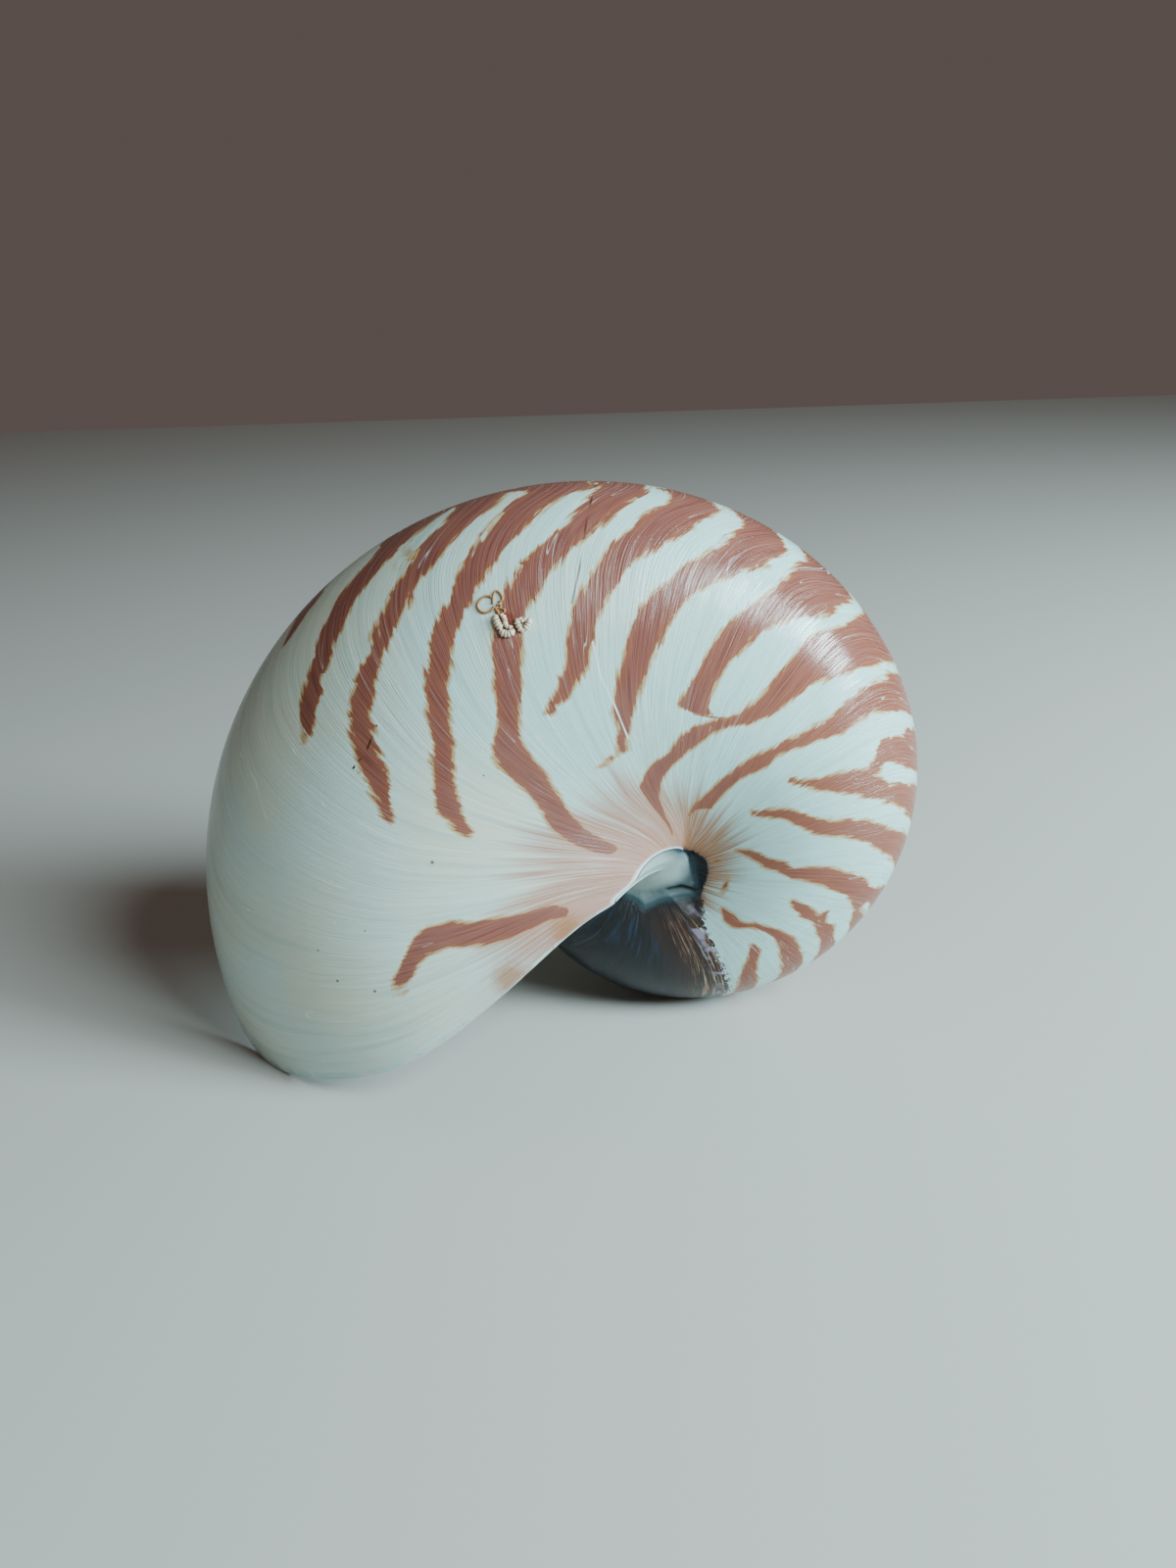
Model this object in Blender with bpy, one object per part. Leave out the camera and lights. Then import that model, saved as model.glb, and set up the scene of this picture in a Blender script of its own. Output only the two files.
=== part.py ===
"""A chambered nautilus shell: one coiled, grown piece with an open body chamber.

The coil axis runs along Y and the shell is the same on both sides of the XZ plane.
It stands on the two side lobes of its lip (at -X) and on the back of its own coil.
"""

import math

import bmesh
import bpy
from mathutils import Matrix, Vector
from mathutils.geometry import interpolate_bezier

# Size: the radius of the venter (the outer keel line) at the lip, in metres.
LIP_RADIUS = 0.1075

# The coil: its radius grows by this rate for each radian of turn.
GROWTH = 0.186
LIP_ANGLE = 3.46
STEPS_PER_TURN = 60

# Half of the whorl's section, as shares of the venter radius: out from the coil axis, then sideways.
VENTER = (1.0, 0.0)
WIDEST = (0.505, 0.384)
UMBILICAL_EDGE = (0.085, 0.306)
OUTER_STEPS = 11
FLANK_STEPS = 7

# How far round the coil the growth lines lead or trail, from the venter to the umbilical edge.
SWEEP = (-0.095, 0.12, 0.2, 0.24, 0.145, -0.16)
SWEEP_AT = (0.0, 0.22, 0.42, 0.62, 0.82, 1.0)

# The wall, the last septum and the hollow behind it.
WALL = 0.0013
CALLUS_SHARE = 0.965
CHAMBER_STEPS = 20
DISH_ANGLE = 0.26
SEPTUM_ANGLE = 0.15
SIPHUNCLE_RADIUS = 0.0022
GAS_STEPS = 40

# The umbilical pit: the white callus that fills it, and the sunk film on its far side.
CALLUS_HEIGHT = 0.0205
PIT_EDGE = 0.0086
PIT_DEPTH = 0.0012

# The columns of the section where the mouth's inner wall and outer corner stand on the coil behind.
FOOT_INNER = 9
FOOT_OUTER = FOOT_INNER + 1


def clear_scene():
    for obj in list(bpy.data.objects):
        bpy.data.objects.remove(obj)


def ease(value):
    """0 below 0, 1 above 1 and a smooth rise between."""
    value = min(max(value, 0.0), 1.0)
    return value * value * (3.0 - 2.0 * value)


def section_points():
    """The section from the venter to the umbilical edge: (share of the way, outward, sideways)."""
    out, side = WIDEST
    edge_out, edge_side = UMBILICAL_EDGE
    outer = interpolate_bezier(
        VENTER, (1.0, 0.57 * side), (out + 0.51 * (1.0 - out), side), WIDEST, OUTER_STEPS + 1)
    reach = out - edge_out
    flank = interpolate_bezier(
        WIDEST, (out - 0.3 * reach, side),
        (edge_out + 0.25 * reach, edge_side + 0.42 * (side - edge_side)), UMBILICAL_EDGE,
        FLANK_STEPS + 1)
    points = [(0.6 * i / OUTER_STEPS, p.x, p.y) for i, p in enumerate(outer)]
    points += [(0.6 + 0.4 * i / FLANK_STEPS, p.x, p.y) for i, p in enumerate(flank) if i > 0]
    return points


SECTION = section_points()
EDGE_COLUMN = len(SECTION) - 1


def sweep_at(share):
    """The lead of a growth line, eased from one control value to the next."""
    for i in range(len(SWEEP) - 1):
        if share <= SWEEP_AT[i + 1] or i == len(SWEEP) - 2:
            break
    slopes = []
    for k in (i, i + 1):
        low, high = max(k - 1, 0), min(k + 1, len(SWEEP) - 1)
        slopes.append((SWEEP[high] - SWEEP[low]) / (SWEEP_AT[high] - SWEEP_AT[low]))
    width = SWEEP_AT[i + 1] - SWEEP_AT[i]
    t = min((share - SWEEP_AT[i]) / width, 1.0)
    return ((2 * t**3 - 3 * t**2 + 1) * SWEEP[i] + (t**3 - 2 * t**2 + t) * width * slopes[0]
            + (-2 * t**3 + 3 * t**2) * SWEEP[i + 1] + (t**3 - t**2) * width * slopes[1])


def section_at(share):
    """The section's (outward, sideways) at any share of the way from venter to umbilical edge."""
    for i in range(EDGE_COLUMN):
        if share <= SECTION[i + 1][0] or i == EDGE_COLUMN - 1:
            break
    first, last = SECTION[i], SECTION[i + 1]
    t = (share - first[0]) / (last[0] - first[0])
    return first[1] + t * (last[1] - first[1]), first[2] + t * (last[2] - first[2])


def shell_point(angle, share, side):
    """A point of the outer surface on the growth line that starts at this angle."""
    out, wide = section_at(share)
    turn = angle + sweep_at(share)
    radius = LIP_RADIUS * math.exp(GROWTH * (turn - LIP_ANGLE - SWEEP[0]))
    reach = radius * out
    sunk = PIT_DEPTH * ease((PIT_EDGE - reach) / 0.0012) * ease((LIP_ANGLE - 1.2 - angle) / 0.9)
    return Vector((reach * math.cos(turn), side * (radius * wide - sunk), reach * math.sin(turn)))


def inner_point(angle, share, side, thickness):
    """A point of the inner surface, one wall's thickness in from the outer one."""
    step = 0.004
    point = shell_point(angle, share, side)
    around = shell_point(angle + step, share, side) - shell_point(angle - step, share, side)
    low, high = max(share - step, 0.0), min(share + step, 1.0)
    across = shell_point(angle, high, side) - shell_point(angle, low, side)
    inward = around.cross(across).normalized() * side
    if share == 0.0:
        inward.y = 0.0
    return point + inward * thickness


def ring_angle(ring):
    """Ring 0 is the lip and the older rings count down from it."""
    return LIP_ANGLE + ring * math.tau / STEPS_PER_TURN


def grow(vector, angle):
    """Growth itself: turns a point about the coil axis and scales it by the same law as the coil."""
    return Matrix.Rotation(-angle, 3, "Y") @ vector * math.exp(GROWTH * angle)


def signed(columns):
    """Column numbers from the last one at -Y, across the venter, to the last one at +Y."""
    return range(-columns, columns + 1)


def add_outside(bm):
    """One full turn of the outer surface, and deeper in, the floor of the body chamber."""
    verts = {}
    oldest = -STEPS_PER_TURN - CHAMBER_STEPS
    for ring in range(oldest, 1):
        reach = EDGE_COLUMN if ring >= -STEPS_PER_TURN else FOOT_INNER
        for column in signed(reach):
            side = -1.0 if column < 0 else 1.0
            share = SECTION[abs(column)][0]
            verts[ring, column] = bm.verts.new(shell_point(ring_angle(ring), share, side))
    for ring in range(oldest, 0):
        reach = EDGE_COLUMN if ring >= -STEPS_PER_TURN else FOOT_INNER
        for column in range(-reach, reach):
            bm.faces.new((verts[ring, column], verts[ring + 1, column],
                          verts[ring + 1, column + 1], verts[ring, column + 1]))
    return verts


def add_inside(bm, outside):
    """The wall of the body chamber, down to its feet on the coil behind."""
    verts = {}
    for ring in range(-CHAMBER_STEPS, 1):
        for column in signed(EDGE_COLUMN):
            side = -1.0 if column < 0 else 1.0
            share = SECTION[abs(column)][0] * CALLUS_SHARE
            verts[ring, column] = bm.verts.new(inner_point(ring_angle(ring), share, side, WALL))
        for side in (-1, 1):
            foot = outside[ring - STEPS_PER_TURN, side * FOOT_INNER]
            top = verts[ring, side * EDGE_COLUMN]
            for k in (1, 2):
                point = top.co.lerp(foot.co, k / 3.0)
                verts[ring, side * (EDGE_COLUMN + k)] = bm.verts.new(point)
            verts[ring, side * (EDGE_COLUMN + 3)] = foot
    last = EDGE_COLUMN + 3
    for ring in range(-CHAMBER_STEPS, 0):
        for column in range(-last, last):
            bm.faces.new((verts[ring, column], verts[ring, column + 1],
                          verts[ring + 1, column + 1], verts[ring + 1, column]))
    return verts


def add_lip(bm, outside, inside):
    """The cut edge of the mouth, and its two outer corner lines down to the coil behind."""
    corners = {}
    for side in (-1, 1):
        foot = outside[-STEPS_PER_TURN, side * FOOT_OUTER]
        top = outside[0, side * EDGE_COLUMN]
        for k in (1, 2):
            corners[side * (EDGE_COLUMN + k)] = bm.verts.new(top.co.lerp(foot.co, k / 3.0))
        corners[side * (EDGE_COLUMN + 3)] = foot
    rim = {column: outside[0, column] for column in signed(EDGE_COLUMN)} | corners
    last = EDGE_COLUMN + 3
    for column in range(-last, last):
        bm.faces.new((rim[column], inside[0, column], inside[0, column + 1], rim[column + 1]))
    return corners


def add_callus(bm, outside, corners, side):
    """The plug of callus that closes the umbilical pit on one side, up to the pit's edge."""
    loop = [outside[ring, side * EDGE_COLUMN] for ring in range(0, -STEPS_PER_TURN - 1, -1)]
    loop += [outside[-STEPS_PER_TURN, side * column]
             for column in range(EDGE_COLUMN - 1, FOOT_OUTER - 1, -1)]
    loop += [corners[side * (EDGE_COLUMN + 2)], corners[side * (EDGE_COLUMN + 1)]]
    row = loop
    for share in (0.66, 0.33):
        shrunk = []
        for vert in loop:
            height = CALLUS_HEIGHT + (abs(vert.co.y) - CALLUS_HEIGHT) * share**1.5
            shrunk.append(bm.verts.new((vert.co.x * share, side * height, vert.co.z * share)))
        join_rows(bm, row, shrunk, side < 0)
        row = shrunk
    centre = bm.verts.new((0.0, side * CALLUS_HEIGHT, 0.0))
    for i in range(len(row)):
        pair = (row[i], row[(i + 1) % len(row)])
        bm.faces.new((*pair, centre) if side < 0 else (*reversed(pair), centre))


def join_rows(bm, outer, inner, flip):
    """Quads between two closed rows of the same length."""
    for i in range(len(outer)):
        k = (i + 1) % len(outer)
        face = (outer[i], outer[k], inner[k], inner[i])
        bm.faces.new(face if flip else face[::-1])


def section_middle(angle):
    """The middle of the whorl's hollow, where the siphuncle runs."""
    reach = 0.68 * LIP_RADIUS * math.exp(GROWTH * (angle - LIP_ANGLE))
    return Vector((reach * math.cos(angle), 0.0, reach * math.sin(angle)))


def dished(loop, middle, share):
    """A row of a dished wall: the loop drawn in about its middle and sunk back along the coil."""
    back = -DISH_ANGLE * (1.0 - share * share)
    return [grow(middle + (point - middle) * share, back) for point in loop]


def hole_row(bm, middle):
    """Eight points round the siphuncle's hole, through the middle of a dished wall."""
    out = middle.normalized()
    across = Vector((0.0, 1.0, 0.0))
    row = []
    for i in range(8):
        turn = math.tau * i / 8
        spoke = (out * math.cos(turn) + across * math.sin(turn)) * SIPHUNCLE_RADIUS
        row.append(bm.verts.new(grow(middle + spoke, -DISH_ANGLE)))
    return row


def bridge(bm, first, second):
    """Triangles and quads between two closed rows of different lengths."""
    edges = []
    for row in (first, second):
        for i in range(len(row)):
            pair = (row[i], row[(i + 1) % len(row)])
            edges.append(bm.edges.get(pair) or bm.edges.new(pair))
    bmesh.ops.bridge_loops(bm, edges=edges)


def add_septum(bm, outside, inside):
    """The last septum: a dished wall across the end of the body chamber, holed for the siphuncle."""
    last = EDGE_COLUMN + 3
    loop = [inside[-CHAMBER_STEPS, column] for column in range(-last, last + 1)]
    floor = -CHAMBER_STEPS - STEPS_PER_TURN
    loop += [outside[floor, column] for column in range(FOOT_INNER - 1, -FOOT_INNER, -1)]
    points = [vert.co.copy() for vert in loop]
    middle = section_middle(ring_angle(-CHAMBER_STEPS))
    row = loop
    for share in (0.72, 0.4):
        inner = [bm.verts.new(point) for point in dished(points, middle, share)]
        join_rows(bm, row, inner, True)
        row = inner
    hole = hole_row(bm, middle)
    bridge(bm, row, hole)
    return hole


def gas_ring(ring):
    """One section of the hollow behind the septum, from its roof round to its floor and back."""
    angle = ring_angle(ring)
    columns = list(range(0, EDGE_COLUMN + 1, 2))
    if columns[-1] != EDGE_COLUMN:
        columns.append(EDGE_COLUMN)
    half = []
    for column in columns:
        share = SECTION[column][0] * CALLUS_SHARE
        half.append(inner_point(angle, share, 1.0, WALL))
    floor = []
    for column in (FOOT_INNER, 7, 5, 3, 0):
        floor.append(inner_point(angle - math.tau, SECTION[column][0], 1.0, -WALL))
    half += [half[-1].lerp(floor[0], 1 / 3), half[-1].lerp(floor[0], 2 / 3)] + floor
    mirrored = [Vector((p.x, -p.y, p.z)) for p in reversed(half[1:-1])]
    return half + mirrored


def add_gas_chamber(bm, hole):
    """The hollow of the older whorls behind the last septum, reached through the siphuncle."""
    start = -CHAMBER_STEPS - SEPTUM_ANGLE / math.tau * STEPS_PER_TURN
    rows = []
    for k in range(GAS_STEPS // 2 + 1):
        rows.append([bm.verts.new(point) for point in gas_ring(start - 2 * k)])
    for k in range(len(rows) - 1):
        join_rows(bm, rows[k], rows[k + 1], True)
    bm.faces.new(rows[-1])
    points = [vert.co.copy() for vert in rows[0]]
    middle = section_middle(ring_angle(start))
    back = rows[0]
    for share in (0.72, 0.4):
        inner = [bm.verts.new(point) for point in dished(points, middle, share)]
        join_rows(bm, inner, back, True)
        back = inner
    tunnel = hole_row(bm, middle)
    bridge(bm, back, tunnel)
    join_rows(bm, hole, tunnel, True)


def lowest(verts, tilt, pick):
    turn = Matrix.Rotation(tilt, 3, "Y")
    return min((turn @ vert.co).z for vert in verts if pick(vert.co))


def stand_up(bm):
    """Tilts the shell until its lip lobes and its coil touch the ground, then centres it there."""
    low, high = -0.4, 0.4
    for _ in range(40):
        tilt = (low + high) / 2.0
        lobes = lowest(bm.verts, tilt, lambda co: co.x < -0.3 * LIP_RADIUS)
        coil = lowest(bm.verts, tilt, lambda co: co.x > -0.15 * LIP_RADIUS)
        if lobes < coil:
            low = tilt
        else:
            high = tilt
    bmesh.ops.rotate(bm, verts=bm.verts, cent=(0, 0, 0), matrix=Matrix.Rotation(tilt, 3, "Y"))
    xs = [vert.co.x for vert in bm.verts]
    ground = min(vert.co.z for vert in bm.verts)
    offset = Vector((-(min(xs) + max(xs)) / 2.0, 0.0, -ground))
    bmesh.ops.translate(bm, verts=bm.verts, vec=offset)
    return tilt, offset


def glossy_shell():
    """Polished shell: warm white with a soft gloss."""
    material = bpy.data.materials.new("polished_nautilus_shell")
    material.use_nodes = True
    shader = material.node_tree.nodes["Principled BSDF"]
    shader.inputs["Base Color"].default_value = (0.72, 0.69, 0.60, 1.0)
    shader.inputs["Roughness"].default_value = 0.32
    shader.inputs["Metallic"].default_value = 0.0
    return material


def build_shell():
    bm = bmesh.new()
    outside = add_outside(bm)
    inside = add_inside(bm, outside)
    corners = add_lip(bm, outside, inside)
    for side in (-1, 1):
        add_callus(bm, outside, corners, side)
    hole = add_septum(bm, outside, inside)
    add_gas_chamber(bm, hole)
    tilt, offset = stand_up(bm)
    print("tilt", round(tilt, 4), "offset", tuple(round(value, 4) for value in offset))
    bmesh.ops.recalc_face_normals(bm, faces=bm.faces)
    bmesh.ops.triangulate(bm, faces=bm.faces, quad_method="SHORT_EDGE")
    mesh = bpy.data.meshes.new("shell")
    bm.to_mesh(mesh)
    bm.free()
    mesh.materials.append(glossy_shell())
    mesh.shade_smooth()
    mesh.set_sharp_from_angle(angle=math.radians(50.0))
    shell = bpy.data.objects.new("shell", mesh)
    bpy.context.scene.collection.objects.link(shell)
    print("triangles", len(mesh.polygons))
    return shell


clear_scene()
build_shell()
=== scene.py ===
import math
from functools import partial

import bpy
import numpy as np
from mathutils import Matrix, Vector, kdtree
from mathutils.geometry import interpolate_bezier


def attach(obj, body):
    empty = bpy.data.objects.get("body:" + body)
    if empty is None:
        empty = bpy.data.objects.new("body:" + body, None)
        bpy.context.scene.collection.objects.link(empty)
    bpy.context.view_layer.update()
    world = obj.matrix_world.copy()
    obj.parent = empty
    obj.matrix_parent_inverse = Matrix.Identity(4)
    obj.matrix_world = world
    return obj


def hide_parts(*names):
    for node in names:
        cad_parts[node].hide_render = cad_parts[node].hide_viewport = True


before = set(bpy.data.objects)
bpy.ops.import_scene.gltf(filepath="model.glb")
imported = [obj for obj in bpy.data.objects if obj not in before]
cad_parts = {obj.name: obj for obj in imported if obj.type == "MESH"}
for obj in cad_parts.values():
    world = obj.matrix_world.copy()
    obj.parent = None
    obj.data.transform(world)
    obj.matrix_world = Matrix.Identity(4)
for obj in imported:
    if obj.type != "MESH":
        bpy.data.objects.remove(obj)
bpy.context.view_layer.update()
print("frame loaded")

# The coil: the lip line turns about the Y axis and shrinks by one law, as the animal grew it.
# Lengths in metres, angles in radians.
coil = {
    "lipRadius": 0.1075,            # coil axis to the venter at the lip
    "growth": 0.186,                # share grown for each radian
    "lipAngle": 3.46,               # where growth ends
    "widest": (0.505, 0.384),       # out and sideways, as shares of the venter radius
    "umbilicalEdge": (0.085, 0.306),    # the same, where the section ends
    "sweep": (-0.095, 0.12, 0.2, 0.24, 0.145, -0.16),   # how far the growth lines lead
    "sweepAt": (0.0, 0.22, 0.42, 0.62, 0.82, 1.0),      # at these shares from the venter
    "venterBend": 0.09,
    "lean": 0.0073,                 # the coil as it stands, and its centre
    "centre": (0.0232, 0.0, 0.0437),
    "ringsPerTurn": 300,
    "chamberRings": 100,
    "outerColumns": 44,
    "flankColumns": 28,
    "footInner": 36,                # where the mouth's wall stands on the coil behind
    "footOuter": 40,
    "wall": 0.0013,
    "lipRound": 0.0003,
    "innerShare": 0.965,            # how much of the section the mouth's wall lines
    "sideWallSteps": 8,
}
step = math.tau / coil["ringsPerTurn"]


def ease(value):
    value = min(max(value, 0.0), 1.0)
    return value * value * (3.0 - 2.0 * value)


def sectionPoints():
    out, side = coil["widest"]
    edgeOut, edgeSide = coil["umbilicalEdge"]
    reach = out - edgeOut
    outer = interpolate_bezier((1.0, 0.0), (1.0, 0.57 * side), (out + 0.51 * (1.0 - out), side),
                               (out, side), coil["outerColumns"] + 1)
    flank = interpolate_bezier((out, side), (out - 0.3 * reach, side),
                               (edgeOut + 0.25 * reach, edgeSide + 0.42 * (side - edgeSide)),
                               (edgeOut, edgeSide), coil["flankColumns"] + 1)
    points = [(0.6 * i / coil["outerColumns"], p.x, p.y) for i, p in enumerate(outer)]
    points += [(0.6 + 0.4 * i / coil["flankColumns"], p.x, p.y)
               for i, p in enumerate(flank) if i > 0]
    return points


section = sectionPoints()
edgeColumn = len(section) - 1
columns = [math.copysign(section[abs(c)][0], c) for c in range(-edgeColumn, edgeColumn + 1)]


def sweepAt(share):
    bend = coil["venterBend"]
    if share < bend:        # a soft bend where the growth lines cross the venter
        share = (share * share + bend**2) / (2 * bend)
    values, places = coil["sweep"], coil["sweepAt"]
    i = 0
    while i < len(values) - 2 and share > places[i + 1]:
        i += 1
    slopes = []
    for k in (i, i + 1):
        low, high = max(k - 1, 0), min(k + 1, len(values) - 1)
        slopes.append((values[high] - values[low]) / (places[high] - places[low]))
    width = places[i + 1] - places[i]
    t = min((share - places[i]) / width, 1.0)
    return ((2 * t**3 - 3 * t**2 + 1) * values[i] + (t**3 - 2 * t**2 + t) * width * slopes[0]
            + (-2 * t**3 + 3 * t**2) * values[i + 1] + (t**3 - t**2) * width * slopes[1])


def sectionAt(share):
    i = 0
    while i < edgeColumn - 1 and share > section[i + 1][0]:
        i += 1
    first, last = section[i], section[i + 1]
    t = (share - first[0]) / (last[0] - first[0])
    return first[1] + t * (last[1] - first[1]), first[2] + t * (last[2] - first[2])


def radiusAt(angle, share):
    lead = angle + sweepAt(share) - coil["lipAngle"] - coil["sweep"][0]
    return coil["lipRadius"] * math.exp(coil["growth"] * lead)


def outsidePoint(angle, across):
    # across runs from -1 at the near umbilical edge, over the venter at 0, to 1 at the far one
    share = abs(across)
    out, wide = sectionAt(share)
    turn = angle + sweepAt(share)
    radius = radiusAt(angle, share)
    return Vector((radius * out * math.cos(turn), math.copysign(radius * wide, across),
                   radius * out * math.sin(turn)))


def insidePoint(angle, across, thickness):
    d = 0.004
    around = outsidePoint(angle + d, across) - outsidePoint(angle - d, across)
    low, high = max(across - d, -1.0), min(across + d, 1.0)
    along = outsidePoint(angle, high) - outsidePoint(angle, low)
    inward = around.cross(along).normalized()
    return outsidePoint(angle, across) + inward * thickness


def setMode(mode):
    bpy.ops.object.mode_set(mode=mode)


def onlySelect(*objects):
    if bpy.context.mode != "OBJECT":
        setMode("OBJECT")
    bpy.ops.object.select_all(action="DESELECT")
    for obj in objects:
        obj.select_set(True)
    bpy.context.view_layer.objects.active = objects[0]


def selectParts(obj, edges=(), faces=()):
    onlySelect(obj)
    setMode("EDIT")
    bpy.ops.mesh.select_all(action="DESELECT")
    setMode("OBJECT")
    for i in edges:
        obj.data.edges[i].select = True
        for k in obj.data.edges[i].vertices:
            obj.data.vertices[k].select = True
    for i in faces:
        obj.data.polygons[i].select = True
    setMode("EDIT")


def editAll(*objects):
    # joined to the first one, in edit mode and selected all over
    onlySelect(*objects)
    if len(objects) > 1:
        bpy.ops.object.join()
    setMode("EDIT")
    bpy.ops.mesh.select_all(action="SELECT")


def closedLine(name, points):
    # a circle of as many points, laid along the line and selected all over
    bpy.ops.mesh.primitive_circle_add(vertices=len(points), radius=1.0, fill_type="NOTHING")
    line = bpy.context.object
    line.name = line.data.name = name
    for vert, point in zip(line.data.vertices, points):
        vert.co = point
    editAll(line)
    setMode("OBJECT")
    return line


def openLine(name, points):
    # the same with one edge taken out
    line = closedLine(name, points)
    closing = [e.index for e in line.data.edges if set(e.vertices) == {0, len(points) - 1}]
    selectParts(line, edges=closing)
    bpy.ops.mesh.select_mode(type="EDGE")
    bpy.ops.mesh.delete(type="EDGE")
    bpy.ops.mesh.select_mode(type="VERT")
    setMode("OBJECT")
    return line


def setFloats(obj, name, values):
    layer = obj.data.attributes.get(name)
    if layer is None:
        layer = obj.data.attributes.new(name, "FLOAT", "POINT")
    layer.data.foreach_set("value", values)


def getFloats(obj, name):
    values = [0.0] * len(obj.data.vertices)
    obj.data.attributes[name].data.foreach_get("value", values)
    return values


def growBack(line, rings):
    # one growth step as a strip, then an array that turns and shrinks each copy like the shell
    editAll(line)
    bpy.ops.mesh.extrude_edges_move()
    setMode("OBJECT")
    shrink = math.exp(-coil["growth"] * step)
    turn = Matrix.Rotation(step, 3, "Y")
    for vert in line.data.vertices:
        if vert.select:
            vert.co = turn @ vert.co * shrink
    bpy.ops.object.empty_add(location=(0, 0, 0), rotation=(0, step, 0))
    pivot = bpy.context.object
    pivot.scale = (shrink, shrink, shrink)
    bpy.context.view_layer.update()
    array = line.modifiers.new("growth", "ARRAY")
    array.count = rings
    array.use_relative_offset = False
    array.use_object_offset = True
    array.offset_object = pivot
    array.use_merge_vertices = True
    array.merge_threshold = 1e-6
    onlySelect(line)
    bpy.ops.object.modifier_apply(modifier="growth")
    bpy.data.objects.remove(pivot)


def growOutside():
    # from the lip back over one whorl and on under the body chamber
    outside = openLine("nautilus_shell", [outsidePoint(coil["lipAngle"], a) for a in columns])
    setFloats(outside, "across", columns)
    growBack(outside, coil["ringsPerTurn"] + coil["chamberRings"])
    across = getFloats(outside, "across")
    growth = []
    for vert, a in zip(outside.data.vertices, across):
        out = sectionAt(abs(a))[0]
        reach = math.hypot(vert.co.x, vert.co.z)
        lead = math.log(reach / out / coil["lipRadius"]) / coil["growth"]
        growth.append(coil["lipAngle"] + coil["sweep"][0] + lead - sweepAt(abs(a)))
    setFloats(outside, "growth", growth)
    # past one turn only the floor of the body chamber stays
    oldest = coil["lipAngle"] - math.tau
    foot = section[coil["footInner"]][0]
    spare = []
    for face in outside.data.polygons:
        u = sum(growth[i] for i in face.vertices) / len(face.vertices)
        a = sum(across[i] for i in face.vertices) / len(face.vertices)
        if u < oldest and abs(a) > foot:
            spare.append(face.index)
    selectParts(outside, faces=spare)
    bpy.ops.mesh.select_mode(type="FACE")
    bpy.ops.mesh.delete(type="FACE")
    bpy.ops.mesh.select_mode(type="VERT")
    setMode("OBJECT")
    return outside


def lipOutline(outer):
    # the lip line with its two corner lines down to the coil behind
    steps = coil["sideWallSteps"]
    lip = coil["lipAngle"]
    if outer:
        line = [outsidePoint(lip, a) for a in columns]
        foot = coil["footOuter"]
    else:
        line = [insidePoint(lip, a * coil["innerShare"], coil["wall"]) for a in columns]
        foot = coil["footInner"]
    near = outsidePoint(lip - math.tau, -section[foot][0])
    far = outsidePoint(lip - math.tau, section[foot][0])
    start = [near.lerp(line[0], k / steps) for k in range(steps)]
    end = [line[-1].lerp(far, (k + 1) / steps) for k in range(steps)]
    return start + line + end


def growInside():
    # the inner wall of the body chamber
    inside = openLine("chamber", lipOutline(False))
    growBack(inside, coil["chamberRings"])
    return inside


def lipEdge():
    # the outer and inner outlines bridged, and the rows between them pushed out to a rounded edge
    outer = openLine("lip", lipOutline(True))
    inner = openLine("lipInner", lipOutline(False))
    editAll(outer, inner)
    bpy.ops.mesh.bridge_edge_loops(number_cuts=3, interpolation="LINEAR")
    setMode("OBJECT")
    tree = kdtree.KDTree(len(outer.data.vertices))
    for vert in outer.data.vertices:
        tree.insert(vert.co, vert.index)
    tree.balance()
    outerLine, innerLine = lipOutline(True), lipOutline(False)
    last = len(outerLine) - 1
    moves = {}
    for i, (a, b) in enumerate(zip(outerLine, innerLine)):
        grown = Matrix.Rotation(-0.01, 3, "Y") @ a * (1 + 0.01 * coil["growth"])
        forward = (grown - a).normalized()
        for k in (1, 2, 3):
            index = tree.find(a.lerp(b, k / 4))[1]
            if i in (0, last):      # the ends stand on the coil behind, column for column
                side = -1 if i == 0 else 1
                moves[index] = outsidePoint(coil["lipAngle"] - math.tau,
                                            side * section[coil["footOuter"] - k][0])
            else:
                bulge = coil["lipRound"] * math.sin(math.pi * k / 4)
                moves[index] = a.lerp(b, k / 4) + forward * bulge
    for index, point in moves.items():
        outer.data.vertices[index].co = point
    return outer


def openLoops(obj):
    # every closed run of open edges, as lists of vertex numbers
    faceCount = {}
    for face in obj.data.polygons:
        for key in face.edge_keys:
            faceCount[key] = faceCount.get(key, 0) + 1
    near = {}
    for (a, b), n in faceCount.items():
        if n == 1:
            near.setdefault(a, []).append(b)
            near.setdefault(b, []).append(a)
    loops, done = [], set()
    for start in near:
        if start in done:
            continue
        loop, vert = [], start
        while vert is not None:
            loop.append(vert)
            done.add(vert)
            vert = next((v for v in near[vert] if v not in done), None)
        loops.append(loop)
    return loops


def extrudeRow(obj, place):
    # one more row on the selected loop, each new point put where place says
    setMode("EDIT")
    bpy.ops.mesh.extrude_edges_move()
    setMode("OBJECT")
    for vert in obj.data.vertices:
        if vert.select:
            vert.co = place(vert.co)


def closeRow(obj):
    setMode("EDIT")
    bpy.ops.mesh.merge(type="CENTER")
    setMode("OBJECT")


# callus rows drawn in from the umbilicus's rim towards the coil axis, up to a height
umbilicus = {"rows": 16, "lastRow": 0.6, "height": 0.0205, "rise": 1.5}


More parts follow.
